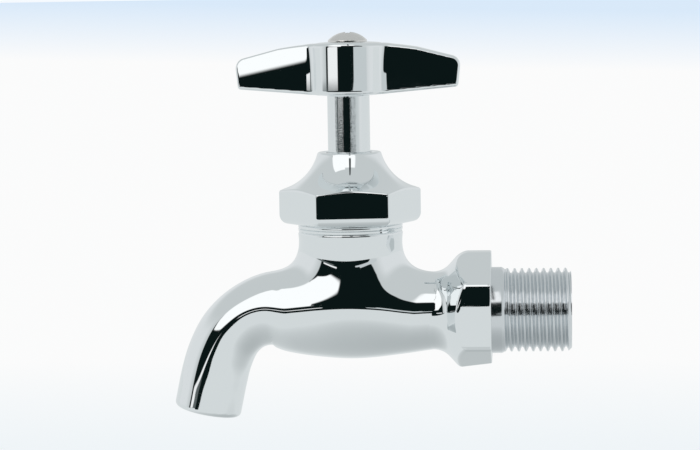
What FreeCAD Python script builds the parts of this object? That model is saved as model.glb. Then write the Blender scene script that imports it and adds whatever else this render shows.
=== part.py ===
import FreeCAD, Part
import math
import os

# Bib tap for a half inch (13 mm) water line, sizes in millimetres.
# X runs from the tap towards the wall, Y away from the front, Z up.
# The origin is on the inlet's axis, where the collar ends and the pipe thread starts.
# The tap is modelled shut: the washer is on its seat.

V = FreeCAD.Vector

# Valve column
axisX = -38.4           # upright axis of spindle, nut, neck and seat
fitGap = 0.05           # radial room in a running fit
restGap = 0.05          # room between flat faces that only rest on each other

# Inlet tail and its wrench hexagon
threadR = 20.955 / 2    # half inch parallel pipe thread, over the crests
threadPitch = 25.4 / 14
threadDepth = 1.16
threadFlat = threadPitch / 6   # width of the flats on crest and root
threadTurns = 9
threadEnd = 16.8
shoulderX = -3.0        # wall side of the hexagon
tailChamfer = 0.9
collarR = 10.8
hexAcross = 28.2        # across flats, one corner up
hexTopZ = 14.9          # top corner, buffed off
hexTopRound = 4.5       # rounding from the buffed top down to the flare's slope
hexTopSkim = 0.07       # how far left of a true tangent that rounding starts, so it clears the slope
hexLowZ = (-13.9, -12.6)  # bottom corner, buffed off at a slope: left end, shoulder
hexLength = 8.4         # length of the flats' wide part
hexCornerRound = 1.6
throatR = 9.8
flareFrom = -17.8       # where the throat starts to open towards the hexagon
flareR = 5.5
flareAngle = 48.0
inletBoreR = 7.0

# Belly and spout: centre x, centre z, turn of the path, half height, half width
bodyStations = (
    (flareFrom, 0.0, 0, throatR, throatR),
    (-25.0, -0.1, 0, 10.7, 11.6),
    (-31.5, 0.0, 0, 11.6, 12.8),
    (axisX, 0.05, 0, 12.0, 13.5),
    (-45.5, 0.1, 0, 11.6, 13.0),
    (-52.5, 0.3, 6, 10.8, 11.6),
    (-59.8, 0.55, 13, 9.2, 9.9),
    (-64.9, -1.5, 30, 8.5, 9.0),
    (-69.0, -5.2, 51, 8.3, 8.6),
    (-71.9, -10.6, 70, 8.35, 8.45),
)
outletX = -75.6
outletZ = -25.2
outletTurn = 77.7       # the spout's end leans this far down from level
outletR = 8.45
outletStraight = 8.5
outletBoreR = 6.6
lipRound = 1.1

# Neck
neckR = 13.06
neckTop = 20.3          # top of the plain neck, under the bead
beadR = 13.15
beadTop = 21.3
neckBlend = 7.0
neckThreadR = 12.6      # thread that takes the cap nut
neckRim = 29.2
spindleThreadR = 8.5
neckBoreTo = 12.5       # lower end of the bore that carries the spindle

# Waterway
seatR = 5.4
seatZ = 4.55
seatLipR = 6.6
chamberR = 9.4
chamberFloor = 3.6
lowWay = (               # inlet to seat: centre x, centre z, turn, radius
    (-19.0, 0.0, 0, 7.0),
    (-25.0, -1.6, 14, 6.6),
    (-31.5, -3.9, 14, 5.6),
    (axisX, -4.6, 0, 5.2),
)
highWay = (              # valve chamber to spout
    (-41.0, 9.2, 20, 6.4),
    (-48.0, 6.4, 24, 6.7),
    (-54.0, 3.4, 24, 6.9),
    (-59.8, 0.8, 22, 6.8),
    (-64.9, -1.6, 33, 6.4),
    (-69.0, -5.2, 51, 6.3),
    (-71.8, -10.7, 70, 6.4),
)

# Valve disc and its rubber
jumperStemR = 3.0
jumperDiscR = 7.0
washerR = 6.9
washerThick = 3.0
discThick = 2.0
jumperTop = 21.0
studR = 2.0
jumperNutAcross = 7.0
jumperNutThick = 2.3

# Spindle
stemR = 5.3
spindleBootR = 6.5
spindleThread = (11.0, 23.0)
squareAcross = 7.0
squareTop = 64.6
screwHoleR = 2.05

# Packing under the cap nut
ringThick = 0.95
packWasherR = 12.2
packWasherThick = 1.4
packingR = (9.6, 6.8)    # foot and head of the cone
packingTop = 36.9

# Cap nut
nutAcross = 31.1
nutFoot = 22.4
nutTop = 40.3
nutMouthR = 6.2
nutTurned = 6.5         # the front flat looks this many degrees towards +X
nutEdgeRound = 1.9
nutCornerRound = 1.0
nutDome = (              # buffed shoulder of the flats, then a hollow curve up to the rim: radius, height
    (17.6, 30.6),
    (17.2, 31.0),
    (11.15, 34.5),
    (8.1, 39.7),
)
nutShoulderZ = 29.3      # where the buffing starts at the corners

# Handle: two wings on a round boss
handleFoot = 54.9
handleBossR = 9.9
handleCrown = 67.7
wingReach = 28.1
wingRoot = 4.9           # half thickness at the boss
wingTip = 2.5            # half thickness at the tip
wingShoulder = (17.4, 66.3)
wingTipTop = (25.9, 64.1)
wingTipSide = (28.1, 61.8)
wingTipMiddle = (27.5, 63.35)   # top of the rounding between the two
wingTipFoot = (27.5, 56.3)
seamRound = 3.0          # blend between wing and boss
handleEdgeRound = 0.7

# Handle screw
screwHeadR = 4.9
screwHeadThick = 2.6
screwHeadRim = 0.5
screwShankEnd = 56.5


def upright(x, z):
    return V(x, 0, z)


def drum(radius, low, high):
    """Upright cylinder on the valve axis."""
    return Part.makeCylinder(radius, high - low, V(axisX, 0, low))


def outline(start, *steps, lay=upright):
    """Closed face: a step is a point, or a pair of points for an arc through the first to the second."""
    edges = []
    here = start
    for step in steps + (start,):
        if isinstance(step[0], tuple):
            middle, end = step
            edges.append(Part.Arc(lay(*here), lay(*middle), lay(*end)).toShape())
        elif step != here:
            end = step
            edges.append(Part.LineSegment(lay(*here), lay(*end)).toShape())
        here = end
    return Part.Face(Part.Wire(edges))


def turned(start, *steps):
    """Body of revolution about the valve axis, drawn as radius and height."""
    face = outline(start, *steps)
    face.translate(V(axisX, 0, 0))
    return face.revolve(V(axisX, 0, 0), V(0, 0, 1), 360)


def hexagon(across, low, high, cornerAngle=0.0):
    """Upright hexagonal prism on the valve axis, with a corner at the given angle from X."""
    reach = across / math.sqrt(3)
    angles = [math.radians(cornerAngle + 60 * k) for k in range(7)]
    ring = [V(axisX + reach * math.cos(a), reach * math.sin(a), low) for a in angles]
    return Part.Face(Part.makePolygon(ring)).extrude(V(0, 0, high - low))


def section(x, z, turn, high, wide):
    """Elliptical section of the casting, square to a path that has turned from -X towards -Z."""
    a = math.radians(turn)
    ahead = V(-math.cos(a), 0, -math.sin(a))
    up = V(-math.sin(a), 0, math.cos(a))
    side = up.cross(ahead)
    if wide > high:
        curve = Part.Ellipse(V(0, 0, 0), wide, high)
    else:
        curve = Part.Circle(V(0, 0, 0), V(0, 0, 1), high)
    edge = curve.toShape()
    edge.transformShape(FreeCAD.Matrix(
        side.x, up.x, ahead.x, x,
        side.y, up.y, ahead.y, 0,
        side.z, up.z, ahead.z, z,
        0, 0, 0, 1))
    return Part.Wire([edge])


def outletSection(back, radius):
    """Round section of the spout's straight end, a distance back from its mouth."""
    a = math.radians(outletTurn)
    return section(outletX + back * math.cos(a), outletZ + back * math.sin(a),
                   outletTurn, radius, radius)


def outletDrum(radius, fromBack, toBack):
    a = math.radians(outletTurn)
    ahead = V(-math.cos(a), 0, -math.sin(a))
    start = V(outletX, 0, outletZ) - ahead * fromBack
    return Part.makeCylinder(radius, fromBack - toBack, start, ahead)


def roundedBy(solid, radius, wanted):
    edges = [edge for edge in solid.Edges if wanted(edge)]
    return solid.makeFillet(radius, edges)


def onNeck(edge):
    """True for an edge of the seam where the neck enters the belly."""
    points = [edge.valueAt(edge.FirstParameter + (edge.LastParameter - edge.FirstParameter) * t)
              for t in (0.1, 0.35, 0.6, 0.9)]
    near = all(abs(math.hypot(p.x - axisX, p.y) - neckR) < 0.05 for p in points)
    return near and all(2.0 < p.z < neckTop - 2.0 for p in points)


def bellyAndSpout():
    sections = [section(*station) for station in bodyStations]
    sections.append(outletSection(outletStraight + 2, outletR))
    sections.append(outletSection(outletStraight, outletR))
    skin = Part.makeLoft(sections, True)
    end = roundedBy(outletDrum(outletR, outletStraight, 0.0), lipRound,
                    lambda e: (e.CenterOfMass - V(outletX, 0, outletZ)).Length < 0.1)
    neck = drum(neckR, 0.0, neckTop)
    joined = skin.fuse(neck)
    joined = roundedBy(joined, neckBlend, onNeck)
    return joined.fuse(end)


def inletHexagon():
    bend = math.radians(flareAngle)
    slopeX = flareFrom + flareR * math.sin(bend)
    slopeR = throatR + flareR * (1 - math.cos(bend))
    half = math.radians(flareAngle / 2)
    middle = (flareFrom + flareR * math.sin(half), throatR + flareR * (1 - math.cos(half)))
    wideR = hexAcross / math.sqrt(3) + 1.0
    wideX = slopeX + (wideR - slopeR) / math.tan(bend)
    profile = outline((flareFrom, 0), (flareFrom, throatR), (middle, (slopeX, slopeR)), (wideX, wideR),
                      (shoulderX, wideR), (shoulderX, 0))
    flare = profile.revolve(V(0, 0, 0), V(1, 0, 0), 360)
    reach = hexAcross / math.sqrt(3)
    prismLength = shoulderX - flareFrom + 2
    ring = [V(shoulderX - prismLength, reach * math.sin(math.radians(60 * k)),
              reach * math.cos(math.radians(60 * k))) for k in range(7)]
    prism = Part.Face(Part.makePolygon(ring)).extrude(V(prismLength, 0, 0))
    prism = roundedBy(prism, hexCornerRound, lambda e: e.BoundBox.XLength > prismLength - 1)
    farX = shoulderX - prismLength
    topX = slopeX + (hexTopZ - slopeR) / math.tan(bend) + hexTopRound * math.tan(half) - hexTopSkim
    roundZ = hexTopZ - hexTopRound
    roundMiddle = (topX - hexTopRound * math.sin(half), roundZ + hexTopRound * math.cos(half))
    roundEnd = (topX - hexTopRound * math.sin(bend), roundZ + hexTopRound * math.cos(bend))
    past = (roundEnd[0] - 1, roundEnd[1])
    buffed = outline((farX, hexTopZ), past, roundEnd, (roundMiddle, (topX, hexTopZ)), (shoulderX, hexTopZ),
                     (shoulderX, hexLowZ[1]), (shoulderX - hexLength, hexLowZ[0]), (farX, hexLowZ[0]))
    buffed.translate(V(0, -reach, 0))
    return flare.common(prism).common(buffed.extrude(V(0, 2 * reach, 0)))


def threadProfile():
    """Pipe thread as rings at its pitch, depth and angle: crests and roots from the collar up to the end chamfer."""
    rootR = threadR - threadDepth
    points = []
    for turn in range(threadTurns):
        crest, root = threadPitch * turn, threadPitch * (turn + 0.5)
        points += [(crest + threadFlat / 2, threadR), (root - threadFlat / 2, rootR), (root + threadFlat / 2, rootR)]
        points.append((crest + threadPitch - threadFlat / 2, threadR))
    lastRoot = points[-2][0]
    steep = threadDepth / (threadPitch / 2 - threadFlat)
    chamferX = threadEnd - tailChamfer
    meet = (chamferX + steep * lastRoot + threadDepth) / (1 + steep)
    points[-1] = (meet, threadR - (meet - chamferX))
    return points


def inletTail():
    back = shoulderX - 1
    profile = outline((back, 0), (back, collarR), (-0.3, collarR), (0, threadR), *threadProfile(),
                      (threadEnd, threadR - tailChamfer), (threadEnd, 0))
    return profile.revolve(V(0, 0, 0), V(1, 0, 0), 360)


def neckTopPart():
    return turned((0, neckTop - 1), (neckR, neckTop - 1), (neckR - 0.25, neckTop), (beadR, neckTop + 0.2),
                  (beadR, beadTop), (neckThreadR, beadTop), (neckThreadR, neckRim - 0.5),
                  (neckThreadR - 0.5, neckRim), (0, neckRim))


def waterway():
    lowFrom = lowWay[0][0]
    inlet = Part.makeCylinder(inletBoreR, threadEnd + 1 - lowFrom, V(lowFrom, 0, 0), V(1, 0, 0))
    low = Part.makeLoft([section(x, z, turn, r, r) for x, z, turn, r in lowWay], True)
    sump = Part.makeSphere(lowWay[-1][3], V(axisX, 0, lowWay[-1][1]), V(-1, 0, 0), 0, 90, 360)
    rise = drum(seatR, lowWay[-1][1], seatZ + 1)
    chamber = drum(chamberR, chamberFloor, neckBoreTo)
    bore = drum(spindleThreadR + fitGap, neckBoreTo - 1, neckRim + 1)
    sections = [section(x, z, turn, r, r) for x, z, turn, r in highWay]
    sections.append(outletSection(outletStraight + 2, outletBoreR))
    sections.append(outletSection(outletStraight, outletBoreR))
    high = Part.makeLoft(sections, True)
    mouth = outletDrum(outletBoreR, outletStraight, -2.0)
    lip = drum(seatLipR, chamberFloor - 0.5, seatZ).cut(drum(seatR, chamberFloor - 1, seatZ + 1))
    way = inlet
    for space in (low, sump, rise, chamber, bore, high, mouth):
        way = way.fuse(space)
    return way.cut(lip)


def body():
    shape = bellyAndSpout()
    for piece in (inletHexagon(), inletTail(), neckTopPart()):
        shape = shape.fuse(piece)
    return shape.cut(waterway())


def jumper():
    foot = seatZ + restGap + washerThick
    top = foot + discThick
    return turned((0, seatZ - 2.4), (studR, seatZ - 2.4), (studR, foot), (jumperDiscR, foot),
                  (jumperDiscR, top), (jumperStemR, top), (jumperStemR, jumperTop - 0.6),
                  (jumperStemR - 0.6, jumperTop), (0, jumperTop))


def jumperWasher():
    low = seatZ + restGap
    return drum(washerR, low, low + washerThick).cut(drum(studR, low - 1, low + 10))


def jumperNut():
    top = seatZ + restGap
    nut = hexagon(jumperNutAcross, top - jumperNutThick, top)
    return nut.cut(drum(studR, top - 5, top + 1))


def spindle():
    foot = seatZ + 2 * restGap + washerThick + discThick
    low, high = spindleThread
    shape = turned((0, foot), (spindleBootR, foot), (spindleBootR, low), (spindleThreadR - 0.6, low),
                   (spindleThreadR, low + 0.6), (spindleThreadR, high - 0.6), (spindleThreadR - 0.6, high),
                   (stemR, high), (stemR, handleFoot - 0.4), (stemR - 0.4, handleFoot), (0, handleFoot))
    half = squareAcross / 2
    square = Part.makeBox(squareAcross, squareAcross, squareTop - handleFoot + 1,
                          V(axisX - half, -half, handleFoot - 1))
    square = square.common(drum(half * 1.25, handleFoot - 2, squareTop))
    shape = shape.fuse(square)
    shape = shape.cut(drum(jumperStemR + 2 * fitGap, foot - 1, jumperTop + 1.5))
    return shape.cut(drum(screwHoleR, screwShankEnd - 1.5, squareTop + 1))


def neckRing():
    return drum(beadR, beadTop, beadTop + ringThick).cut(drum(neckThreadR + fitGap, beadTop - 1, nutFoot + 1))


def packingWasher():
    return drum(packWasherR, neckRim, neckRim + packWasherThick).cut(
        drum(stemR + 0.3, neckRim - 1, neckRim + 5))


def glandPacking():
    low = neckRim + packWasherThick
    foot, head = packingR
    return turned((stemR + fitGap, low), (foot, low), (foot, low + 0.8), (head, packingTop),
                  (stemR + fitGap, packingTop))


def capNut():
    reach = nutAcross / math.sqrt(3)
    prism = hexagon(nutAcross, nutFoot, nutTop + 1, nutTurned)
    prism = roundedBy(prism, nutCornerRound, lambda e: e.BoundBox.ZLength > nutTop - nutFoot)
    prism = roundedBy(prism, nutEdgeRound, lambda e: abs(e.CenterOfMass.z - nutFoot) < 0.01)
    edge, hollowFoot, hollowMiddle, hollowTop = nutDome
    dome = turned((0, nutFoot - 1), (reach + 1, nutFoot - 1), (reach + 1, nutShoulderZ), edge, hollowFoot,
                  (hollowMiddle, hollowTop), (hollowTop[0] - 0.6, nutTop), (0, nutTop))
    low = neckRim + packWasherThick
    foot, head = packingR
    hollow = turned((0, nutFoot - 1), (neckThreadR + fitGap, nutFoot - 1), (neckThreadR + fitGap, low),
                    (foot + fitGap, low), (foot + fitGap, low + 0.8), (head + fitGap, packingTop),
                    (stemR + 0.3, packingTop), (stemR + 0.3, nutTop - 1.6), (nutMouthR, nutTop - 0.8),
                    (nutMouthR, nutTop + 1), (0, nutTop + 1))
    return dome.common(prism).cut(hollow)


def handleCorner():
    """Plan of one wing's face and its blend into the boss: tip, end of the face, blend, start of the boss."""
    lean = math.atan2(wingRoot - wingTip, wingReach - handleBossR)
    out = (math.sin(lean), math.cos(lean))
    along = (math.cos(lean), -math.sin(lean))
    offset = wingTip * out[1] + wingReach * out[0] + seamRound
    reach = handleBossR + seamRound
    slide = math.sqrt(reach ** 2 - offset ** 2)
    centre = tuple(offset * out[i] + slide * along[i] for i in (0, 1))
    faceEnd = tuple(centre[i] - seamRound * out[i] for i in (0, 1))
    bossStart = tuple(centre[i] * handleBossR / reach for i in (0, 1))
    bow = tuple(faceEnd[i] + bossStart[i] - 2 * centre[i] for i in (0, 1))
    blend = tuple(centre[i] + seamRound * bow[i] / math.hypot(*bow) for i in (0, 1))
    tip = (wingReach + 1, wingTip - out[0] / out[1])
    return tip, faceEnd, blend, bossStart


def handle():
    """The plan of boss and wings, crossed with their side outline."""
    def flip(point, x, y):
        return (point[0] * x, point[1] * y)

    tip, faceEnd, blend, bossStart = handleCorner()
    plan = outline(tip, faceEnd, (blend, bossStart),
                   ((0, handleBossR), flip(bossStart, -1, 1)), (flip(blend, -1, 1), flip(faceEnd, -1, 1)),
                   flip(tip, -1, 1), flip(tip, -1, -1), flip(faceEnd, -1, -1),
                   (flip(blend, -1, -1), flip(bossStart, -1, -1)),
                   ((0, -handleBossR), flip(bossStart, 1, -1)), (flip(blend, 1, -1), flip(faceEnd, 1, -1)),
                   flip(tip, 1, -1), lay=lambda x, y: V(axisX + x, y, handleFoot - 5))
    side = outline(wingTipFoot, wingTipSide, (wingTipMiddle, wingTipTop), wingShoulder,
                   ((0, handleCrown), flip(wingShoulder, -1, 1)), flip(wingTipTop, -1, 1),
                   (flip(wingTipMiddle, -1, 1), flip(wingTipSide, -1, 1)), flip(wingTipFoot, -1, 1),
                   (-handleBossR, handleFoot), (handleBossR, handleFoot),
                   lay=lambda x, z: V(axisX + x, -handleBossR - 1, z))
    shape = plan.extrude(V(0, 0, 20)).common(side.extrude(V(0, 2 * handleBossR + 2, 0)))
    shape = roundedBy(shape, handleEdgeRound, lambda e: e.CenterOfMass.z > wingTipSide[1] and e.BoundBox.XLength > 0.5
                      or e.BoundBox.ZLength > 5 and abs(e.CenterOfMass.x - axisX) > wingReach - 2)
    half = squareAcross / 2 + fitGap
    socket = Part.makeBox(2 * half, 2 * half, squareTop - handleFoot + 1.3, V(axisX - half, -half, handleFoot - 1))
    return shape.cut(socket).cut(drum(screwHoleR + 0.4, handleFoot, handleCrown + 1))


def handleScrew():
    """Domed head and plain shank: the head is a drum under a spherical cap."""
    low = handleCrown
    capFoot = low + screwHeadRim
    rise = screwHeadThick - screwHeadRim
    ball = (screwHeadR ** 2 + rise ** 2) / (2 * rise)
    half = math.asin(screwHeadR / ball) / 2
    middle = (ball * math.sin(half), low + screwHeadThick - ball + ball * math.cos(half))
    head = turned((0, low), (screwHeadR, low), (screwHeadR, capFoot), (middle, (0, low + screwHeadThick)))
    return head.fuse(drum(screwHoleR - fitGap, screwShankEnd, capFoot))


parts = {
    "body": body,
    "neck_ring": neckRing,
    "jumper": jumper,
    "jumper_washer": jumperWasher,
    "jumper_nut": jumperNut,
    "spindle": spindle,
    "packing_washer": packingWasher,
    "gland_packing": glandPacking,
    "cap_nut": capNut,
    "handle": handle,
    "handle_screw": handleScrew,
}

os.makedirs("parts", exist_ok=True)
for name, make in parts.items():
    shape = make()
    shape.exportStep("parts/" + name + ".step")
    box = shape.BoundBox
    print(name, "valid", shape.isValid(), "solids", len(shape.Solids), "volume", round(shape.Volume, 1),
          "x", round(box.XMin, 2), round(box.XMax, 2), "y", round(box.YMin, 2), round(box.YMax, 2),
          "z", round(box.ZMin, 2), round(box.ZMax, 2))
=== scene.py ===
import math

import bmesh
import bpy
import numpy as np
from mathutils import Matrix, Vector


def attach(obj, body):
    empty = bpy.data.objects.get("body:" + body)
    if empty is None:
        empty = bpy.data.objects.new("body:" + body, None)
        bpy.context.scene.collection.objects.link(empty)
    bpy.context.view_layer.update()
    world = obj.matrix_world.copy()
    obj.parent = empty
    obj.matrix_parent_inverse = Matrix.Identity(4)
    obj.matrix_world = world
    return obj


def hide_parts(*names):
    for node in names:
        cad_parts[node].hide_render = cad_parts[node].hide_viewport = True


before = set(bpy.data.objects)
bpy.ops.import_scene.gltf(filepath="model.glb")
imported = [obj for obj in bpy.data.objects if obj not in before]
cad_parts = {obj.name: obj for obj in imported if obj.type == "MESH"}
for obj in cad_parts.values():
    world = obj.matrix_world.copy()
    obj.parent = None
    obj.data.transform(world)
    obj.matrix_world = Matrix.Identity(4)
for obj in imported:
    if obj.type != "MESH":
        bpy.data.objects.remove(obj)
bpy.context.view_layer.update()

# Bib tap, chrome plated. The shapes are worked out in millimetres and turned to metres at the end.
# X runs towards the wall, Y away from the camera, Z up, as in the CAD model.
mm = 0.001
scene = bpy.context.scene
print("frame loaded:", len(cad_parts), "CAD nodes")


def aimCamera(settings):
    camera = bpy.data.objects.new("camera", bpy.data.cameras.new("camera"))
    scene.collection.objects.link(camera)
    camera.data.lens = settings["lens"]
    camera.data.sensor_width = 36
    camera.data.clip_start = 0.01
    camera.location = settings["place"]
    camera.rotation_euler = (
        Matrix.Rotation(math.radians(settings["turn"]), 3, "Z")
        @ Matrix.Rotation(math.radians(90 - settings["tiltDown"]), 3, "X")
        @ Matrix.Rotation(math.radians(settings["roll"]), 3, "Z")
    ).to_euler()
    scene.camera = camera
    print("camera placed")


aimCamera({
    "lens": 125.6,
    "place": (0.0066, -0.610, 0.0809),
    "tiltDown": 5.52,
    "turn": 4.23,
    "roll": -0.948,
})


# A field gives, for points in millimetres, the distance to a wall and the way that the wall faces.


def roundCut(one, two, radius):
    # What is inside both, with the edge between them rounded
    a, n = one
    b, m = two
    turn = np.clip((n * m).sum(1), -0.9999, 0.9999)
    p, q = a + radius, b + radius
    alpha = (p - q * turn) / (1 - turn ** 2)
    beta = (q - p * turn) / (1 - turn ** 2)
    onEdge = (alpha > 0) & (beta > 0)
    reach = np.sqrt(np.maximum(alpha ** 2 + beta ** 2 + 2 * alpha * beta * turn, 1e-12))
    distance = np.where(onEdge, reach - radius, np.maximum(a, b))
    arc = (alpha[:, None] * n + beta[:, None] * m) / reach[:, None]
    return distance, np.where(onEdge[:, None], arc, np.where((a > b)[:, None], n, m))


def hollow(field):
    return -field[0], -field[1]


def roundJoin(one, two, radius):
    # What is inside either, with a fillet in the seam
    return hollow(roundCut(hollow(one), hollow(two), radius))


def eitherOne(one, two):
    # What is inside either, with a sharp seam
    first = one[0] < two[0]
    return np.where(first, one[0], two[0]), np.where(first[:, None], one[1], two[1])


def softJoin(one, two, reach):
    # What is inside either, with the seam filled the way a casting flows together
    a, n = one
    b, m = two
    near = np.maximum(1 - np.abs(a - b) / reach, 0)
    share = np.where(a < b, near / 2, 1 - near / 2)[:, None]
    facing = n * (1 - share) + m * share
    steep = np.maximum(np.linalg.norm(facing, axis=1), 0.2)
    return (np.minimum(a, b) - reach / 4 * near ** 2) / steep, facing / steep[:, None]


def flatWall(points, facing, place):
    facing = np.array(facing, float)
    facing /= np.linalg.norm(facing)
    return points @ facing - np.dot(facing, place), np.tile(facing, (len(points), 1))


def turnedWall(points, along, centre, radiusAt):
    # Wall of a shape turned about X (0) or Z (2) through centre; radiusAt gives radius and slope
    around = [i for i in range(3) if i != along]
    out = np.zeros_like(points)
    out[:, around] = points[:, around] - np.array(centre)[around]
    radius = np.maximum(np.linalg.norm(out, axis=1), 1e-6)
    out /= radius[:, None]
    wanted, slope = radiusAt(points[:, along])
    out[:, along] = -slope
    steep = np.sqrt(1 + slope ** 2)
    return (radius - wanted) / steep, out / steep[:, None]


def straight(radius):
    return lambda t: (np.full_like(t, radius), np.zeros_like(t))


def bowed(wall, past, leaning, bow):
    # The same wall bent back to a circle of radius bow; past says how far each point is into the bend
    distance, facing = wall
    facing = facing + past[:, None] * leaning / bow
    steep = np.linalg.norm(facing, axis=1)
    return (distance + past ** 2 / (2 * bow)) / steep, facing / steep[:, None]


def hexWalls(points, along, centre, across, cornerRound, firstCorner=0.0):
    # Six walls about an axis; only the two next to the nearest corner count
    i, j = [(1, 2), None, (0, 1)][along]
    y, z = points[:, i] - centre[i], points[:, j] - centre[j]
    angle = np.arctan2(y, z)
    corner = np.round((angle - firstCorner) / (math.pi / 3)) * (math.pi / 3) + firstCorner
    sides = []
    for offset in (-math.pi / 6, math.pi / 6):
        facing = np.zeros_like(points)
        facing[:, i], facing[:, j] = np.sin(corner + offset), np.cos(corner + offset)
        sides.append((y * facing[:, i] + z * facing[:, j] - across / 2, facing))
    return roundCut(sides[0], sides[1], cornerRound)


def newPiece(name, mesh):
    piece = bpy.data.objects.new(name, mesh)
    scene.collection.objects.link(piece)
    return piece


def solidCopy(node, name):
    # A CAD node's loose triangles as one closed mesh of our own
    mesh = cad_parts[node].data.copy()
    mesh.name = name
    shell = bmesh.new()
    shell.from_mesh(mesh)
    bmesh.ops.remove_doubles(shell, verts=shell.verts, dist=1e-7)
    shell.to_mesh(mesh)
    shell.free()
    mesh.materials.clear()
    return newPiece(name, mesh)


def smoothCopy(node, name, angle=30):
    piece = solidCopy(node, name)
    if "custom_normal" in piece.data.attributes:
        piece.data.attributes.remove(piece.data.attributes["custom_normal"])
    piece.data.shade_smooth()
    piece.data.set_sharp_from_angle(angle=math.radians(angle))
    return piece


def evenSkin(piece, voxel):
    # The same solid with an even mesh
    modifier = piece.modifiers.new("even", "REMESH")
    modifier.mode = "VOXEL"
    modifier.voxel_size = voxel * mm
    graph = bpy.context.evaluated_depsgraph_get()
    even = bpy.data.meshes.new_from_object(piece.evaluated_get(graph))
    old = piece.data
    piece.modifiers.clear()
    piece.data = even
    even.name = old.name
    even.shade_smooth()
    bpy.data.meshes.remove(old)


def positions(mesh):
    place = np.empty(len(mesh.vertices) * 3, np.float32)
    mesh.vertices.foreach_get("co", place)
    return place.reshape(-1, 3).astype(float) / mm


def setPositions(mesh, points):
    mesh.vertices.foreach_set("co", (points * mm).astype(np.float32).ravel())
    mesh.update()


def settle(piece, field, reach, rounds=6):
    # Moves the skin that lies near the field's wall onto it, and spreads its points evenly
    mesh = piece.data
    points = positions(mesh)
    edges = np.empty(len(mesh.edges) * 2, int)
    mesh.edges.foreach_get("vertices", edges)
    edges = edges.reshape(-1, 2)
    count = np.bincount(edges.ravel(), minlength=len(points))[:, None]
    outward = np.empty(len(points) * 3, np.float32)
    mesh.vertex_normals.foreach_get("vector", outward)
    distance, facing = field(points)
    skin = (np.abs(distance) < reach) & ((outward.reshape(-1, 3) * facing).sum(1) > 0)
    for turn in range(rounds):
        if 0 < turn < rounds - 2:
            total = np.zeros_like(points)
            for a, b in ((0, 1), (1, 0)):
                for axis in range(3):
                    total[:, axis] += np.bincount(edges[:, a], points[edges[:, b], axis], len(points))
            points[skin] += 0.5 * (total[skin] / count[skin] - points[skin])
        distance, facing = field(points[skin])
        points[skin] -= np.clip(distance, -reach, reach)[:, None] * facing
    setPositions(mesh, points)


def shadeByField(piece, field):
    # Smooth shading that follows the exact shape; faces that are set flat stay flat
    mesh = piece.data
    normals = np.empty(len(mesh.vertices) * 3, np.float32)
    mesh.vertex_normals.foreach_get("vector", normals)
    normals = normals.reshape(-1, 3)
    distance, facing = field(positions(mesh))
    exact = (np.abs(distance) < 0.02) & ((normals * facing).sum(1) > 0.5)
    normals[exact] = facing[exact]
    corners, isSmooth = np.empty(len(mesh.loops), int), np.empty(len(mesh.polygons), bool)
    mesh.loops.foreach_get("vertex_index", corners)
    mesh.polygons.foreach_get("use_smooth", isSmooth)
    sides = np.empty(len(mesh.polygons), int)
    mesh.polygons.foreach_get("loop_total", sides)
    mesh.normals_split_custom_set(normals[corners] * np.repeat(isSmooth, sides)[:, None])


def cutFlat(piece, place, facing):
    # Cuts off what lies past a plane and closes the piece with a flat lid
    shell = bmesh.new()
    shell.from_mesh(piece.data)
    bmesh.ops.bisect_plane(shell, geom=shell.verts[:] + shell.edges[:] + shell.faces[:], dist=1e-9,
                           plane_co=Vector(place) * mm, plane_no=facing, clear_outer=True)
    rim = [edge for edge in shell.edges if edge.is_boundary]
    lid = bmesh.ops.triangle_fill(shell, edges=rim, use_beauty=True, normal=facing)["geom"]
    for part in lid:
        if isinstance(part, bmesh.types.BMFace):
            part.smooth = False
    bmesh.ops.recalc_face_normals(shell, faces=shell.faces)
    shell.to_mesh(piece.data)
    shell.free()
    piece.data.update()


def lathe(name, profile, centre=(0.0, 0.0), along=2, steps=160):
    # Closed ring or solid turned from radius and height pairs
    shell = bmesh.new()
    rows = []
    for k in range(steps):
        a = 2 * math.pi * k / steps
        row = []
        for radius, height in profile:
            if along == 2:
                place = (centre[0] + radius * math.cos(a), centre[1] + radius * math.sin(a), height)
            else:
                place = (height, centre[0] + radius * math.cos(a), centre[1] + radius * math.sin(a))
            row.append(shell.verts.new(Vector(place) * mm))
        rows.append(row)
    for k in range(steps):
        here, there = rows[k], rows[(k + 1) % steps]
        for i in range(len(profile)):
            j = (i + 1) % len(profile)
            shell.faces.new((here[i], there[i], there[j], here[j]))
    bmesh.ops.remove_doubles(shell, verts=shell.verts, dist=1e-8)
    bmesh.ops.dissolve_degenerate(shell, edges=shell.edges, dist=1e-8)
    bmesh.ops.delete(shell, geom=[edge for edge in shell.edges if edge.is_wire], context="EDGES")
    bmesh.ops.recalc_face_normals(shell, faces=shell.faces)
    mesh = bpy.data.meshes.new(name)
    shell.to_mesh(mesh)
    shell.free()
    mesh.shade_smooth()
    mesh.set_sharp_from_angle(angle=math.radians(32))
    return newPiece(name, mesh)


def mathNode(tree, operation, *values):
    node = tree.nodes.new("ShaderNodeMath")
    node.operation = operation
    for slot, value in zip(node.inputs, values):
        if isinstance(value, (int, float)):
            slot.default_value = value
        else:
            tree.links.new(value, slot)
    return node.outputs[0]


def mapRange(tree, value, start, end, soft=False):
    # 0 at start, 1 at end
    step = tree.nodes.new("ShaderNodeMapRange")
    if soft:
        step.interpolation_type = "SMOOTHSTEP"
    for name, limit in (("From Min", start), ("From Max", end)):
        if isinstance(limit, (int, float)):
            step.inputs[name].default_value = limit
        else:
            tree.links.new(limit, step.inputs[name])
    tree.links.new(value, step.inputs["Value"])
    return step.outputs["Result"]


def blendColour(tree, fade, one, two):
    mix = tree.nodes.new("ShaderNodeMix")
    mix.data_type = "RGBA"
    for slot, value in (("Factor", fade), ("A", one), ("B", two)):
        if isinstance(value, tuple):
            mix.inputs[slot].default_value = (*value, 1)
        else:
            tree.links.new(value, mix.inputs[slot])
    return mix.outputs["Result"]


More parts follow.
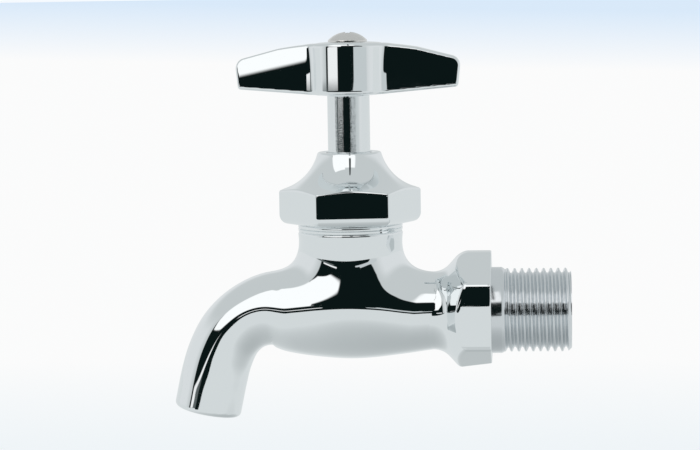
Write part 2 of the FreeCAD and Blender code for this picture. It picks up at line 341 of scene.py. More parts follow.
def newMaterial(name):
    material = bpy.data.materials.new(name)
    material.use_nodes = True
    tree = material.node_tree
    return material, tree, tree.nodes["Principled BSDF"]


def noiseValue(tree, scale, detail, stretch=None):
    source = tree.nodes.new("ShaderNodeTexCoord").outputs["Object"]
    if stretch:
        mapping = tree.nodes.new("ShaderNodeMapping")
        mapping.inputs["Scale"].default_value = stretch
        tree.links.new(source, mapping.inputs["Vector"])
        source = mapping.outputs["Vector"]
    noise = tree.nodes.new("ShaderNodeTexNoise")
    noise.inputs["Scale"].default_value = scale
    noise.inputs["Detail"].default_value = detail
    tree.links.new(source, noise.inputs["Vector"])
    return noise.outputs["Fac"]


def spread(tree, source, low, high):
    # Noise, which mostly lies between 0.3 and 0.7, spread over a wanted range
    span = tree.nodes.new("ShaderNodeMapRange")
    for name, limit in (("From Min", 0.3), ("From Max", 0.7), ("To Min", low), ("To Max", high)):
        span.inputs[name].default_value = limit
    tree.links.new(source, span.inputs["Value"])
    return span.outputs["Result"]


def bumpNode(tree, height, distance, normal=None):
    bump = tree.nodes.new("ShaderNodeBump")
    bump.inputs["Distance"].default_value = distance * mm
    tree.links.new(height, bump.inputs["Height"])
    if normal:
        tree.links.new(normal, bump.inputs["Normal"])
    return bump.outputs["Normal"]


def metal(name, colour, rough, ripple=0.0, rippleSize=6.0, grain=0.0, grainStretch=None):
    # Plated or bare metal: rough is the range of roughness, ripple and grain are bump heights in millimetres
    material, tree, shader = newMaterial(name)
    shader.inputs["Metallic"].default_value = 1.0
    shader.inputs["Base Color"].default_value = (*colour, 1)
    tree.links.new(spread(tree, noiseValue(tree, 240, 4), *rough), shader.inputs["Roughness"])
    normal = None
    for height, scale, stretch in ((ripple, 1000 / rippleSize, None), (grain, 900, grainStretch)):
        if height:
            normal = bumpNode(tree, noiseValue(tree, scale, 2, stretch), height, normal)
    if normal:
        tree.links.new(normal, shader.inputs["Normal"])
    return material


def rubber(name, colour):
    material, tree, shader = newMaterial(name)
    grain = noiseValue(tree, 700, 4)
    paler = tuple(c * 1.7 for c in colour)
    tree.links.new(blendColour(tree, grain, colour, paler), shader.inputs["Base Color"])
    tree.links.new(spread(tree, grain, 0.55, 0.75), shader.inputs["Roughness"])
    tree.links.new(bumpNode(tree, grain, 0.03), shader.inputs["Normal"])
    return material


chromeColour = (0.83, 0.86, 0.87)
finishes = {
    "castChrome": metal("castChrome", chromeColour, (0.012, 0.03), ripple=0.004, rippleSize=9),
    "buffedChrome": metal("buffedChrome", chromeColour, (0.012, 0.03), ripple=0.002, rippleSize=7),
    "turnedChrome": metal("turnedChrome", chromeColour, (0.05, 0.1), grain=0.004, grainStretch=(1, 1, 12)),
    "threadChrome": metal("threadChrome", (0.72, 0.75, 0.77), (0.1, 0.2), grain=0.004),
    "nickel": metal("nickel", (0.72, 0.71, 0.69), (0.14, 0.26), grain=0.006),
    "brass": metal("brass", (0.72, 0.53, 0.26), (0.18, 0.34), grain=0.01, grainStretch=(1, 1, 14)),
    "rubber": rubber("rubber", (0.02, 0.02, 0.021)),
}


def finish(piece, material, body, slot, *nodes):
    piece.data.materials.clear()
    piece.data.materials.append(finishes[material])
    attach(piece, body)
    if nodes:
        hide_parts(*nodes)
    print("made", piece.name, len(piece.data.polygons), "faces")


axisX = -38.4

castSettings = {
    # Stations of belly and spout: x, z, half height, half width
    "stations": [
        (-2.0, 0.0, 9.8, 9.8),
        (-17.8, 0.0, 9.8, 9.8),
        (-25.0, -0.1, 10.7, 11.2),
        (-31.5, 0.0, 11.6, 11.7),
        (axisX, 0.05, 12.0, 11.6),
        (-45.5, 0.1, 11.6, 11.8),
        (-52.5, 0.3, 10.8, 11.3),
        (-59.8, 0.55, 9.2, 9.9),
        (-64.9, -1.5, 8.5, 9.0),
        (-69.0, -5.2, 8.3, 8.6),
        (-71.9, -10.6, 8.35, 8.45),
    ],
    "outlet": (-75.6, -25.2),
    "outletTurn": 77.7,
    "outletRadius": 8.45,
    "outletStraight": 8.5,
    "outletBore": 6.6,
    "boreDepth": 8.0,
    "boreBelow": -12.0,
    "boreRound": 0.5,
    "lipRound": 1.1,
    "neckTop": 19.9,
    "neckTopRadius": 13.15,
    "neckFoot": (11.6, 3.2),
    "bowlDepth": 8.0,
    "seam": 8.0,
    "lift": 0.7,
    "flatBow": 110.0,
    "flatBowFrom": 4.5,
    "throatRadius": 9.8,
    "flareFrom": -17.8,
    "flareBend": 5.5,
    "flareAngle": 48.0,
    "hexAcross": 28.2,
    "hexCornerRound": 1.6,
    "scallopRound": 1.5,
    "hexTop": 14.9,
    "hexTopRound": 4.55,
    "hexFoot": (-13.9, -12.6),
    "hexLength": 8.4,
    "hexEdges": 1.5,
    "shoulder": -3.0,
    "shoulderRound": 0.5,
    # Cut back by this much so that only the flat face is left behind the hexagon
    "shoulderSkim": 0.1,
    # How far tube and hexagon run into each other, and the rounding of those hidden ends
    "tubeInFlare": 6.0,
    "overlap": 1.5,
    "seamEdge": 0.1,
    "voxel": 0.45,
    "skinReach": 1.6,
}


def spoutPath(settings):
    # Smooth centre line through the stations, in steps of a quarter millimetre
    rows = list(settings["stations"])
    bend = math.radians(settings["outletTurn"])
    x, z = settings["outlet"]
    radius = settings["outletRadius"]
    for back in (settings["outletStraight"], 4.0, 0.0, -6.0):
        rows.append((x + back * math.cos(bend), z + back * math.sin(bend), radius, radius))
    rows = np.array(rows)
    steps = np.linalg.norm(np.diff(rows[:, :2], axis=0), axis=1)
    length = np.concatenate([[0], np.cumsum(steps)])
    slope = np.gradient(rows, length, axis=0)
    fine = np.arange(0, length[-1], 0.25)
    k = np.clip(np.searchsorted(length, fine, "right") - 1, 0, len(rows) - 2)
    span = (length[k + 1] - length[k])[:, None]
    t = ((fine - length[k])[:, None]) / span
    curve = ((2 * t ** 3 - 3 * t ** 2 + 1) * rows[k] + (t ** 3 - 2 * t ** 2 + t) * span * slope[k]
             + (3 * t ** 2 - 2 * t ** 3) * rows[k + 1] + (t ** 3 - t ** 2) * span * slope[k + 1])
    window = np.hanning(17)
    padded = np.pad(curve, ((8, 8), (0, 0)), "reflect", reflect_type="odd")
    curve = np.stack([np.convolve(padded[:, i], window / window.sum(), "valid") for i in range(4)], 1)
    ahead = np.gradient(curve[:, :2], axis=0)
    pace = np.linalg.norm(ahead, axis=1)
    return {
        "length": np.concatenate([[0], np.cumsum((pace[1:] + pace[:-1]) / 2)]),
        "centre": curve[:, :2],
        "ahead": ahead / pace[:, None],
        "size": curve[:, 2:],
        "growth": np.gradient(curve[:, 2:], axis=0) / pace[:, None],
    }


def sweptWall(points, path, lift):
    # Wall of a tube with an oval section along a path in the XZ plane, widest a little above its centre
    flat = points[:, [0, 2]]
    pathX, pathZ = path["centre"].T
    nearest = np.empty(len(flat), int)
    batch = 20000
    for start in range(0, len(flat), batch):
        part = flat[start:start + batch]
        gaps = (part[:, None, 0] - pathX) ** 2 + (part[:, None, 1] - pathZ) ** 2
        nearest[start:start + batch] = gaps.argmin(1)
    past = ((flat - path["centre"][nearest]) * path["ahead"][nearest]).sum(1)
    run = path["length"][nearest] + past

    def at(table):
        return np.stack([np.interp(run, path["length"], table[:, i]) for i in range(2)], 1)

    centre, ahead, size, growth = at(path["centre"]), at(path["ahead"]), at(path["size"]), at(path["growth"])
    ahead /= np.linalg.norm(ahead, axis=1)[:, None]
    up = np.stack([-ahead[:, 1], ahead[:, 0]], 1) * np.where(ahead[:, :1] > 0, 1, -1)
    v, y = ((flat - centre) * up).sum(1) - lift, points[:, 1]
    high, wide = np.where(v > 0, size[:, 0] - lift, size[:, 0] + lift), size[:, 1]
    k = np.maximum(np.sqrt((v / high) ** 2 + (y / wide) ** 2), 1e-3)
    gv, gy = v / high ** 2 / k, y / wide ** 2 / k
    gs = -(v ** 2 * growth[:, 0] / high ** 3 + y ** 2 * growth[:, 1] / wide ** 3) / k
    facing = np.empty_like(points)
    facing[:, 0] = gv * up[:, 0] + gs * ahead[:, 0]
    facing[:, 2] = gv * up[:, 1] + gs * ahead[:, 1]
    facing[:, 1] = gy
    steep = np.linalg.norm(facing, axis=1)
    return (k - 1) / steep, facing / steep[:, None]


def castBody(settings):
    path = spoutPath(settings)
    footR, footZ = settings["neckFoot"]
    opening = (settings["neckTopRadius"] - footR) / (settings["neckTop"] - footZ)
    bend = math.radians(settings["flareAngle"])
    flareR, throat, start = settings["flareBend"], settings["throatRadius"], settings["flareFrom"]

    def neck(points):
        # Neck that narrows downwards and closes like a bowl inside the belly
        z = points[:, 2]
        wide = footR + opening * np.maximum(z - footZ, 0)
        out = points - np.array([axisX, 0, 0])
        out[:, 2] = 0
        k = np.linalg.norm(out, axis=1) / wide
        down = np.minimum(z - footZ, 0) / settings["bowlDepth"]
        whole = np.maximum(np.sqrt(k ** 2 + down ** 2), 1e-3)
        facing = out / (wide ** 2 * whole)[:, None]
        widening = np.where(z > footZ, k ** 2 * opening / wide / whole, 0)
        facing[:, 2] = down / settings["bowlDepth"] / whole - widening
        steep = np.linalg.norm(facing, axis=1)
        return (whole - 1) / steep, facing / steep[:, None]

    def flareAt(x):
        t = np.arcsin(np.clip((x - start) / flareR, 0, math.sin(bend)))
        past = np.maximum(x - start - flareR * math.sin(bend), 0)
        return throat + flareR * (1 - np.cos(t)) + past * math.tan(bend), np.tan(t)

    def hexagon(points):
        buffed = flatWall(points, (0, 0, 1), (0, 0, settings["hexTop"]))
        flare = roundCut(turnedWall(points, 0, (0, 0, 0), flareAt), buffed, settings["hexTopRound"])
        flats = hexWalls(points, 0, (0, 0, 0), settings["hexAcross"], settings["hexCornerRound"])
        # The front and back flats are crowned towards the foot
        upright = np.abs(flats[1][:, 1]) > 0.9
        below = np.minimum(points[:, 2] - settings["flatBowFrom"], 0) * upright
        flats = bowed(flats, below, [0, 0, 1], settings["flatBow"])
        low, high = settings["hexFoot"]
        lean = (high - low) / settings["hexLength"]
        shoulder, inside, edges = settings["shoulder"], start - settings["overlap"], settings["hexEdges"]
        flats = roundCut(flats, buffed, edges)
        flats = roundCut(flats, flatWall(points, (lean, 0, -1), (shoulder, 0, high)), edges)
        shape = roundCut(flare, flats, settings["scallopRound"])
        shape = roundCut(shape, flatWall(points, (1, 0, 0), (shoulder, 0, 0)), settings["shoulderRound"])
        return roundCut(shape, flatWall(points, (-1, 0, 0), (inside, 0, 0)), settings["seamEdge"])

    turn = math.radians(settings["outletTurn"])
    ahead = np.array([-math.cos(turn), 0, -math.sin(turn)])
    mouth = np.array([settings["outlet"][0], 0, settings["outlet"][1]])

    def field(points):
        tube = sweptWall(points, path, settings["lift"])
        tube = roundCut(tube, flatWall(points, ahead, mouth), settings["lipRound"])
        tubeEnd = (start + settings["tubeInFlare"], 0, 0)
        tube = roundCut(tube, flatWall(points, (1, 0, 0), tubeEnd), settings["seamEdge"])
        outer = softJoin(tube, neck(points), settings["seam"])
        shape = eitherOne(hexagon(points), outer)
        back = (points - mouth) @ -ahead
        nearMouth = (back < settings["boreDepth"]) & (points[:, 2] < settings["boreBelow"])
        across = points - mouth + back[:, None] * ahead
        radius = np.maximum(np.linalg.norm(across, axis=1), 1e-6)
        bore = (settings["outletBore"] - radius, -across / radius[:, None])
        bored = roundCut(shape, bore, settings["boreRound"])
        return np.where(nearMouth, bored[0], shape[0]), np.where(nearMouth[:, None], bored[1], shape[1])

    body = solidCopy("body", "cast_body")
    evenSkin(body, settings["voxel"])
    print("even skin", len(body.data.polygons))
    settle(body, field, settings["skinReach"])
    cutFlat(body, (0, 0, settings["neckTop"]), (0, 0, 1))
    cutFlat(body, (settings["shoulder"] - settings["shoulderSkim"], 0, 0), (1, 0, 0))
    shadeByField(body, field)
    finish(body, "castChrome", "tap", "chrome_body", "body")


castBody(castSettings)


neckTopSettings = {
    "bore": 8.55,
    "neck": 13.06,
    "groove": (12.75, 20.35),
    "bead": (13.15, 20.55, 21.3),
    "thread": (12.6, 29.2),
}


def neckTop(settings):
    grooveR, grooveZ = settings["groove"]
    beadR, beadLow, beadHigh = settings["bead"]
    threadR, rim = settings["thread"]
    profile = [
        (settings["bore"], castSettings["neckTop"]), (settings["neck"], castSettings["neckTop"]),
        (settings["neck"], grooveZ - 0.2), (settings["neck"] - 0.08, grooveZ - 0.06), (grooveR, grooveZ),
        (grooveR, grooveZ + 0.08), (beadR - 0.16, beadLow), (beadR - 0.09, beadLow + 0.1),
        (beadR, beadHigh - 0.15), (beadR - 0.12, beadHigh),
        (threadR, beadHigh), (threadR, rim - 0.5), (threadR - 0.5, rim),
        (settings["bore"], rim),
    ]
    return lathe("neck_top", profile, centre=(axisX, 0))


finish(neckTop(neckTopSettings), "buffedChrome", "tap", "chrome_body", "body")

ringSettings = {
    "bore": 12.65,
    "radius": 13.13,
    "height": (21.3, 22.25),
    "bulge": 0.16,
}


def ringUnderNut(settings):
    # Thin ring with a rounded outer wall
    low, high = settings["height"]
    middle, half = (low + high) / 2, (high - low) / 2
    radius, bulge = settings["radius"], settings["bulge"]
    wall = [(radius - bulge * t * t, middle + half * t) for t in np.linspace(-0.92, 0.92, 13)]
    edge = wall[0][0] - 0.06
    profile = [(settings["bore"], low), (edge, low), *wall, (edge, high), (settings["bore"], high)]
    return lathe("ring_under_nut", profile, centre=(axisX, 0))


finish(ringUnderNut(ringSettings), "buffedChrome", "tap", "chrome_trim", "neck_ring")
for node, name, material, slot, body in (
    ("packing_washer", "packing_ring", "brass", "brass", "tap"),
    ("gland_packing", "packing", "rubber", "black_rubber", "tap"),
    ("jumper", "valve_disc", "brass", "brass", "valve_disc"),
    ("jumper_washer", "disc_washer", "rubber", "black_rubber", "valve_disc"),
    ("jumper_nut", "disc_nut", "brass", "brass", "valve_disc"),
    ("spindle", "stem", "turnedChrome", "plated_spindle", "spindle_and_handle"),
):
    finish(smoothCopy(node, name), material, body, slot, node)


tailSettings = {
    "bore": 7.0,
    "boreEnd": -3.4,
    "collar": (10.8, -3.4, -0.5),
    "crest": 20.955 / 2,
    "depth": 1.16,
    "pitch": 1.814,
    "threadFrom": 0.0,
    "end": 16.8,
    "chamfer": 0.9,
    "chamferRound": 0.15,
    # Shares of half a pitch between which the thread's flank falls from crest to root
    "flank": (0.12, 0.9),
    "runIn": 0.6,
    "rowsPerPitch": 18,
    "around": 144,
}


def groupInput(tree, name, kind, value):
    socket = tree.interface.new_socket(name, in_out="INPUT", socket_type=kind)
    socket.default_value = value
    return socket.identifier


def threadTree(settings):
    # Cuts a helical thread into a turned bar that lies along X
    tree = bpy.data.node_groups.new("pipeThread", "GeometryNodeTree")
    tree.interface.new_socket("Geometry", in_out="INPUT", socket_type="NodeSocketGeometry")
    tree.interface.new_socket("Geometry", in_out="OUTPUT", socket_type="NodeSocketGeometry")
    names = ("Crest radius", "Depth", "Pitch", "Start", "End", "Chamfer")
    values = [settings[k] * mm for k in ("crest", "depth", "pitch", "threadFrom", "end", "chamfer")]
    sockets = {name: groupInput(tree, name, "NodeSocketFloat", value) for name, value in zip(names, values)}
    dressing = tree.interface.new_socket("Material", in_out="INPUT", socket_type="NodeSocketMaterial")
    sockets["Material"] = dressing.identifier
    nodes, links = tree.nodes, tree.links
    enter, leave = nodes.new("NodeGroupInput"), nodes.new("NodeGroupOutput")
    place, parts = nodes.new("GeometryNodeInputPosition"), nodes.new("ShaderNodeSeparateXYZ")
    links.new(place.outputs[0], parts.inputs[0])
    x, y, z = parts.outputs
    pitch, crest, start = (enter.outputs[name] for name in ("Pitch", "Crest radius", "Start"))
    turns = mathNode(tree, "DIVIDE", mathNode(tree, "ARCTAN2", y, z), 2 * math.pi)
    advanced = mathNode(tree, "ADD", x, mathNode(tree, "MULTIPLY", turns, pitch))
    phase = mathNode(tree, "FRACT", mathNode(tree, "DIVIDE", advanced, pitch))
    flank = mathNode(tree, "ABSOLUTE", mathNode(tree, "SUBTRACT", mathNode(tree, "MULTIPLY", phase, 2), 1))
    depth = mapRange(tree, flank, *settings["flank"], soft=True)
    depth = mathNode(tree, "MULTIPLY", depth, enter.outputs["Depth"])
    fullDepth = mathNode(tree, "ADD", start, mathNode(tree, "MULTIPLY", pitch, settings["runIn"]))
    depth = mathNode(tree, "MULTIPLY", depth, mapRange(tree, x, start, fullDepth))
    radius = mathNode(tree, "SUBTRACT", crest, depth)
    lead = mathNode(tree, "ADD", crest, mathNode(tree, "SUBTRACT", enter.outputs["End"], x))
    lead = mathNode(tree, "SUBTRACT", lead, enter.outputs["Chamfer"])
    radius = mathNode(tree, "SMOOTH_MIN", radius, lead, settings["chamferRound"] * mm)
    squares = [mathNode(tree, "MULTIPLY", side, side) for side in (y, z)]
    scale = mathNode(tree, "DIVIDE", radius, mathNode(tree, "SQRT", mathNode(tree, "ADD", *squares)))
    joined = nodes.new("ShaderNodeCombineXYZ")
    links.new(x, joined.inputs[0])
    links.new(mathNode(tree, "MULTIPLY", y, scale), joined.inputs[1])
    links.new(mathNode(tree, "MULTIPLY", z, scale), joined.inputs[2])
    isWall = nodes.new("GeometryNodeInputNamedAttribute")
    isWall.data_type = "BOOLEAN"
    isWall.inputs["Name"].default_value = "thread"
    move = nodes.new("GeometryNodeSetPosition")
    links.new(enter.outputs["Geometry"], move.inputs["Geometry"])
    links.new(isWall.outputs["Attribute"], move.inputs["Selection"])
    links.new(joined.outputs[0], move.inputs["Position"])
    real = nodes.new("GeometryNodeRealizeInstances")
    dress = nodes.new("GeometryNodeSetMaterial")
    links.new(move.outputs[0], real.inputs[0])
    links.new(real.outputs[0], dress.inputs["Geometry"])
    links.new(enter.outputs["Material"], dress.inputs["Material"])
    links.new(dress.outputs[0], leave.inputs[0])
    return tree, sockets


def inletTail(settings):
    collarR, collarFrom, collarTo = settings["collar"]
    crest, start, end, bore = (settings[name] for name in ("crest", "threadFrom", "end", "bore"))
    rows = int((end - start) / settings["pitch"] * settings["rowsPerPitch"])
    threadRows = [(crest, start + (end - start) * k / rows) for k in range(rows + 1)]
    profile = [(bore, settings["boreEnd"]), (collarR, collarFrom), (collarR, collarTo - 0.1),
               (collarR - 0.04, collarTo), *threadRows, (bore + 0.4, end), (bore, end - 0.4)]
    bar = lathe("inlet_tail", profile, along=0, steps=settings["around"])
    places = positions(bar.data)
    radius = np.hypot(places[:, 1], places[:, 2])
    onThread = (np.abs(radius - crest) < 0.01) & (places[:, 0] > start - 0.01)
    mark = bar.data.attributes.new("thread", "BOOLEAN", "POINT")
    mark.data.foreach_set("value", onThread)
    tree, sockets = threadTree(settings)
    modifier = bar.modifiers.new("thread", "NODES")
    modifier.node_group = tree
    modifier[sockets["Material"]] = finishes["threadChrome"]
    graph = bpy.context.evaluated_depsgraph_get()
    threaded = bpy.data.meshes.new_from_object(bar.evaluated_get(graph))
    bar.modifiers.clear()
    bar.data = threaded
    threaded.shade_smooth()
    threaded.set_sharp_from_angle(angle=math.radians(60))
    return bar


finish(inletTail(tailSettings), "threadChrome", "tap", "chrome_body", "body")


nutSettings = {
    "across": 31.1,
    "turned": 6.5,
    "foot": 22.4,
    "top": 40.3,
    "cornerRound": 1.0,
    "footRound": 2.4,
    "edge": 0.6,
    "mouthRound": 0.3,
    "domeFrom": (17.2, 31.0),
    "domeThrough": (11.15, 34.5),
    "domeTo": (8.1, 39.7),
    "mouth": 6.2,
    "voxel": 0.34,
    "skinReach": 1.2,
}


def arcThrough(a, b, c):
    # Centre and radius of the circle through three points
    a, b, c = (np.array(p, float) for p in (a, b, c))
    d = 2 * np.cross(b - a, c - a)
    p, q = (b - a) @ (b - a), (c - a) @ (c - a)
    centre = a + np.array([(c - a)[1] * p - (b - a)[1] * q, (b - a)[0] * q - (c - a)[0] * p]) / d
    return centre, np.linalg.norm(centre - a)


def capNut(settings):
    (arcR, arcZ), bow = arcThrough(settings["domeFrom"], settings["domeThrough"], settings["domeTo"])
    steepest = 0.97 * bow

    def domeAt(z):
        # The arc, with straight slopes past its steepest points
        t = np.clip(z - arcZ, -steepest, steepest)
        side = np.sqrt(bow ** 2 - t ** 2)
        slope = t / side
        return arcR - side + (z - arcZ - t) * slope, slope

    def field(points):
        centre, edge = (axisX, 0, 0), settings["edge"]
        firstCorner = math.radians(30 - settings["turned"])
        shape = hexWalls(points, 2, centre, settings["across"], settings["cornerRound"], firstCorner)
        shape = roundCut(shape, flatWall(points, (0, 0, -1), (0, 0, settings["foot"])), settings["footRound"])
        shape = roundCut(shape, turnedWall(points, 2, centre, domeAt), edge)
        shape = roundCut(shape, flatWall(points, (0, 0, 1), (0, 0, settings["top"])), edge)
        mouth = hollow(turnedWall(points, 2, centre, straight(settings["mouth"])))
        return roundCut(shape, mouth, settings["mouthRound"])

    nut = solidCopy("cap_nut", "cap_nut_polished")
    evenSkin(nut, settings["voxel"])
    settle(nut, field, settings["skinReach"])
    shadeByField(nut, field)
    finish(nut, "buffedChrome", "tap", "chrome_nut", "cap_nut")


capNut(nutSettings)


handleSettings = {
    "foot": 54.9,
    "crown": 67.7,
    "bossR": 9.9,
    "bossEdge": 0.9,
    "reach": 28.1,
    "rootHalf": 4.9,
    "tipHalf": 2.5,
    "shoulder": (17.4, 66.3),
    "tipTop": (25.9, 64.1),
    "tip": (28.1, 61.8),
    "tipFoot": (27.5, 56.3),
    "tipRound": 2.6,
    "edge": 0.8,
    "seamRound": 3.0,
    "crownFoot": (59.3, 55.2),
    "crownBow": 53.0,
    "topRound": 6.0,
    "voxel": 0.3,
    "skinReach": 1.2,
}


def handle(settings):
    lean = math.atan2(settings["rootHalf"] - settings["tipHalf"], settings["reach"] - settings["bossR"])
    shoulder, tipTop, tip, tipFoot = (settings[k] for k in ("shoulder", "tipTop", "tip", "tipFoot"))
    bossFoot = (settings["bossR"], settings["foot"])
    rise = settings["crown"] - shoulder[1]
    bow = (shoulder[0] ** 2 + rise ** 2) / (2 * rise)

    def wallThrough(q, one, two):
        # Wall through two corners of the outline, taken in the order in which it is walked from below
        return flatWall(q, (two[1] - one[1], 0, one[0] - two[0]), (two[0], 0, two[1]))

    def crowned(q, wall):
        # The face leans back more and more towards its top; it starts to do so lower down at the tip
        inner, outer = settings["crownFoot"]
        fall = (outer - inner) / (settings["reach"] - settings["bossR"])
        above = np.maximum(q[:, 2] - inner - fall * (q[:, 0] - settings["bossR"]), 0)
        return bowed(wall, above, [-fall, 0, 1], settings["crownBow"])

    def field(points):
        # Worked out for the quarter with x and y positive, then turned back
        away = points - np.array([axisX, 0, 0])
        sign = np.where(away < 0, -1.0, 1.0)
        sign[:, 2] = 1
        q = away * sign
        crown = q - np.array([0, 0, settings["crown"] - bow])
        crown[:, 1] = 0
        far = np.linalg.norm(crown, axis=1)
        crownWall = (far - bow, crown / far[:, None])
        top = roundCut(crownWall, wallThrough(q, tipTop, shoulder), settings["topRound"])
        atTip = (settings["reach"], settings["tipHalf"], 0)
        side = crowned(q, flatWall(q, (math.sin(lean), math.cos(lean), 0), atTip))
        end, foot = wallThrough(q, tipFoot, tip), wallThrough(q, bossFoot, tipFoot)
        outline = roundCut(roundCut(top, end, settings["tipRound"]), foot, settings["edge"])
        wing = roundCut(outline, side, settings["edge"])
        boss = turnedWall(q, 2, (0, 0, 0), straight(settings["bossR"]))
        boss = roundCut(boss, crownWall, settings["bossEdge"])
        boss = roundCut(boss, flatWall(q, (0, 0, -1), (0, 0, settings["foot"])), settings["edge"])
        distance, facing = roundJoin(wing, boss, settings["seamRound"])
        return distance, facing * sign

    piece = solidCopy("handle", "handle_cast")
    evenSkin(piece, settings["voxel"])
    settle(piece, field, settings["skinReach"])
    shadeByField(piece, field)
    finish(piece, "buffedChrome", "spindle_and_handle", "chrome_handle", "handle")


handle(handleSettings)


screwSettings = {
    "seat": 67.7,
    "headR": 4.9,
    "rim": 0.5,
    "height": 2.6,
    "shankR": 2.0,
    "shankEnd": 56.5,
    "recess": (0.55, 2.0, 1.3),
}


def handleScrew(settings):
    seat, headR, rim, height = (settings[k] for k in ("seat", "headR", "rim", "height"))
    rise = height - rim
    ball = (headR ** 2 + rise ** 2) / (2 * rise)
    ballZ = seat + height - ball
    angles = np.linspace(0.97, 0, 60) * math.asin(headR / ball)
    dome = [(ball * math.sin(a), ballZ + ball * math.cos(a)) for a in angles]
    shankR, shankEnd = settings["shankR"], settings["shankEnd"]
    profile = [(0.0, shankEnd), (shankR - 0.4, shankEnd), (shankR, shankEnd + 0.4), (shankR, seat),
               (headR - 0.15, seat), (headR, seat + 0.15), (headR, seat + rim - 0.1),
               (headR - 0.03, seat + rim), *dome]
    screw = lathe("handle_screw_head", profile, centre=(axisX, 0), steps=120)
    places = positions(screw.data)
    width, length, depth = settings["recess"]
    x, y = np.abs(places[:, 0] - axisX), np.abs(places[:, 1])
    walls = np.clip((width - np.minimum(x, y)) / 0.25 + 0.5, 0, 1)
    cross = walls * np.clip((length - np.maximum(x, y)) / 0.5, 0, 1)
    places[:, 2] -= np.where(places[:, 2] > seat + rim, cross * depth, 0)
    setPositions(screw.data, places)
    finish(screw, "nickel", "spindle_and_handle", "nickel_screw", "handle_screw")


handleScrew(screwSettings)


def edgeAt(tree, elevation, corners):
    # Azimuth of a screen's edge at each elevation, along straight runs between its corners
    curve = tree.nodes.new("ShaderNodeFloatCurve")
    points = curve.mapping.curves[0].points
    spots = [((e + 90) / 180, (a + 180) / 360) for e, a in sorted(corners)]
    points[0].location, points[1].location = (0, spots[0][1]), (1, spots[-1][1])
    for spot in spots:
        points.new(*spot)
    for point in points:
        point.handle_type = "VECTOR"
    curve.mapping.update()
    tree.links.new(mathNode(tree, "DIVIDE", mathNode(tree, "ADD", elevation, 90), 180), curve.inputs["Value"])
    return mathNode(tree, "SUBTRACT", mathNode(tree, "MULTIPLY", curve.outputs[0], 360), 180)


def screenMask(tree, azimuth, elevation, screen):
    # 1 inside a screen's outline; a left or right edge is one azimuth or corners of elevation and azimuth
    def past(more, less, soft):
        return mapRange(tree, mathNode(tree, "SUBTRACT", more, less), -soft, soft, soft=True)

    left, right = (edgeAt(tree, elevation, screen[edge]) if isinstance(screen[edge], list) else screen[edge]
                   for edge in ("left", "right"))
    sideways, upwards = screen["soft"]
    low, high = screen["elevation"]
    across = mathNode(tree, "MULTIPLY", past(azimuth, left, sideways), past(right, azimuth, sideways))
    upright = mathNode(tree, "MULTIPLY", past(elevation, low, upwards), past(high, elevation, upwards))
    return mathNode(tree, "MULTIPLY", across, upright)


white = (1.0, 1.0, 1.0)


def studioWorld(settings):
    # Soft boxes and dark screens by their direction from the object: azimuth from -Y towards +X, elevation up
    world = bpy.data.worlds.new("studio")
    scene.world = world
    world.use_nodes = True
    tree = world.node_tree
    nodes, links = tree.nodes, tree.links
    place, parts = nodes.new("ShaderNodeTexCoord"), nodes.new("ShaderNodeSeparateXYZ")
    links.new(place.outputs["Generated"], parts.inputs[0])
    x, y, z = parts.outputs
    degree = 180 / math.pi
    front = mathNode(tree, "MULTIPLY", y, -1)
    azimuth = mathNode(tree, "MULTIPLY", mathNode(tree, "ARCTAN2", x, front), degree)
    elevation = mathNode(tree, "MULTIPLY", mathNode(tree, "ARCSINE", z), degree)
    colour = settings["surround"]
    for screen in settings["screens"]:
        mask = screenMask(tree, azimuth, elevation, screen)
        colour = blendColour(tree, mask, colour, screen["colour"])
    background = nodes["Background"]
    links.new(colour, background.inputs["Color"])
    background.inputs["Strength"].default_value = 1.0
    backdrop = nodes.new("ShaderNodeBackground")
    sky = blendColour(tree, mapRange(tree, z, *settings["skyFrom"]), white, settings["sky"])
    links.new(sky, backdrop.inputs["Color"])
    seen, choose = nodes.new("ShaderNodeLightPath"), nodes.new("ShaderNodeMixShader")
    links.new(seen.outputs["Is Camera Ray"], choose.inputs[0])
    links.new(background.outputs[0], choose.inputs[1])
    links.new(backdrop.outputs[0], choose.inputs[2])
    links.new(choose.outputs[0], nodes["World Output"].inputs["Surface"])
    print("studio lit,", len(settings["screens"]), "screens")


studioWorld({
    "surround": (0.635, 0.665, 0.67),
    "sky": (0.78, 0.88, 1.0),
    "skyFrom": (-0.02, 0.03),
    "screens": [
        # Pale walls at the sides
        {"left": 62, "right": 170, "elevation": (-12, 24), "soft": (14, 8), "colour": (0.80, 0.82, 0.83)},
        {"left": -172, "right": -72, "elevation": (-12, 24), "soft": (10, 8), "colour": (0.80, 0.82, 0.83)},
        # Dark screen in front, low at its left
        {"left": -62, "right": [(-6, 45), (-4, 40), (-1, 40), (0, 46), (5, 48), (14, 49), (21, 46), (27, 36)],
         "elevation": (-30, 27), "soft": (1.2, 1.0), "colour": (0.004, 0.009, 0.009)},
        # Soft boxes above and to the left of it
        {"left": [(6, -34), (10, -42), (16, -57), (24, -61)], "right": -15.5,
         "elevation": (6.8, 60), "soft": (1.5, 1.2), "colour": (1.15, 1.15, 1.15)},
        {"left": -61, "right": 27, "elevation": (27, 56), "soft": (3, 2), "colour": (1.15, 1.15, 1.15)},
        {"left": 2.5, "right": 10, "elevation": (34, 76), "soft": (1, 2), "colour": (0.05, 0.06, 0.06)},
        # Gap in the dark screen, level with the handle and the stem
        {"left": [(-2.5, 12), (-2.1, 21)], "right": 60, "elevation": (-4.2, -0.7),
         "soft": (1.0, 0.3), "colour": (0.62, 0.66, 0.67)},
        {"left": -76, "right": -33,
         "elevation": (-4.2, -2.3), "soft": (4, 0.3), "colour": (0.12, 0.14, 0.14)},
        {"left": -56, "right": -26, "elevation": (-2.3, -0.7), "soft": (1, 0.3), "colour": (1.0, 1.0, 1.0)},
    ],
})


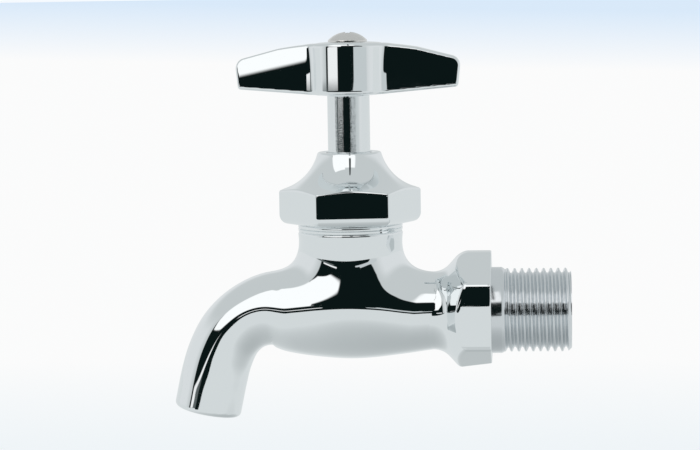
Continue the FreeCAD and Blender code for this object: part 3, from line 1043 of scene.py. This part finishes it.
def floorPlane(settings):
    # Pale floor; the camera and mirror rays see its colours unlit, so that it runs into the backdrop; close
    # to the tap, mirror rays see it darker, a painted shadow
    x, front, back, z = settings["area"]
    mesh = bpy.data.meshes.new("floor")
    mesh.from_pydata([(-x, front, z), (x, front, z), (x, back, z), (-x, back, z)], [], [(0, 1, 2, 3)])
    floor = newPiece("floor", mesh)
    material, tree, shader = newMaterial("paleFloor")
    nodes, links = tree.nodes, tree.links
    shader.inputs["Base Color"].default_value = (0.8, 0.82, 0.83, 1)
    shader.inputs["Roughness"].default_value = 0.9
    shader.inputs["Specular IOR Level"].default_value = 0.0
    seen = nodes.new("ShaderNodeLightPath")
    place, parts = nodes.new("ShaderNodeTexCoord"), nodes.new("ShaderNodeSeparateXYZ")
    links.new(place.outputs["Object"], parts.inputs[0])
    fromRay, fromMirror = seen.outputs["Is Camera Ray"], seen.outputs["Is Glossy Ray"]
    nearness = mapRange(tree, parts.outputs["Y"], *settings["nearFrom"])
    shown = blendColour(tree, nearness, settings["near"], white)
    depth = mathNode(tree, "ADD", parts.outputs["Y"], settings["hazeFrom"])
    depth = mathNode(tree, "MAXIMUM", depth, settings["leastDepth"])
    drop = mathNode(tree, "MULTIPLY_ADD", parts.outputs["X"], settings["hazeLean"], -settings["hazeHeight"])
    haze = mapRange(tree, mathNode(tree, "DIVIDE", drop, depth), *settings["hazeRange"])
    shown = blendColour(tree, haze, shown, settings["haze"])
    away = nodes.new("ShaderNodeVectorMath")
    away.operation = "LENGTH"
    links.new(place.outputs["Object"], away.inputs[0])
    # Painted shadow: mirror rays see the floor darker close to the tap, which also gives the chrome's
    # underside painted shade
    outwards = mapRange(tree, away.outputs["Value"], *settings["paintedShadowFrom"])
    mirrored = blendColour(tree, outwards, settings["paintedShadow"], settings["mirrored"])
    colour = blendColour(tree, fromRay, mirrored, shown)
    glow, choose = nodes.new("ShaderNodeEmission"), nodes.new("ShaderNodeMixShader")
    links.new(colour, glow.inputs["Color"])
    direct = mathNode(tree, "MAXIMUM", fromRay, fromMirror)
    links.new(mathNode(tree, "MULTIPLY", direct, settings["unlit"]), choose.inputs[0])
    links.new(shader.outputs[0], choose.inputs[1])
    links.new(glow.outputs[0], choose.inputs[2])
    links.new(choose.outputs[0], nodes["Material Output"].inputs["Surface"])
    mesh.materials.append(material)
    print("floor laid")


floorPlane({
    # Half width, front, back and height in metres
    "area": (30.0, -0.76, 60.0, -0.12),
    "unlit": 0.92,
    "near": (0.88, 0.93, 0.96),
    "nearFrom": (0.42, 0.7),
    # Haze near the horizon, by the slope of the way down to the floor from the camera's place
    "haze": (0.708, 0.838, 0.983),
    "hazeFrom": 0.61,
    "hazeHeight": 0.2,
    "hazeLean": 0.03,
    "hazeRange": (-0.0334, -0.0094),
    "leastDepth": 0.3,
    "mirrored": (0.78, 0.81, 0.815),
    # Painted shadow: the darker colour that mirror rays see on the floor near the tap, fading to the mirrored
    # colour over these radii
    "paintedShadow": (0.50, 0.53, 0.535),
    "paintedShadowFrom": (0.12, 0.21),
})

scene.view_settings.view_transform = "Standard"
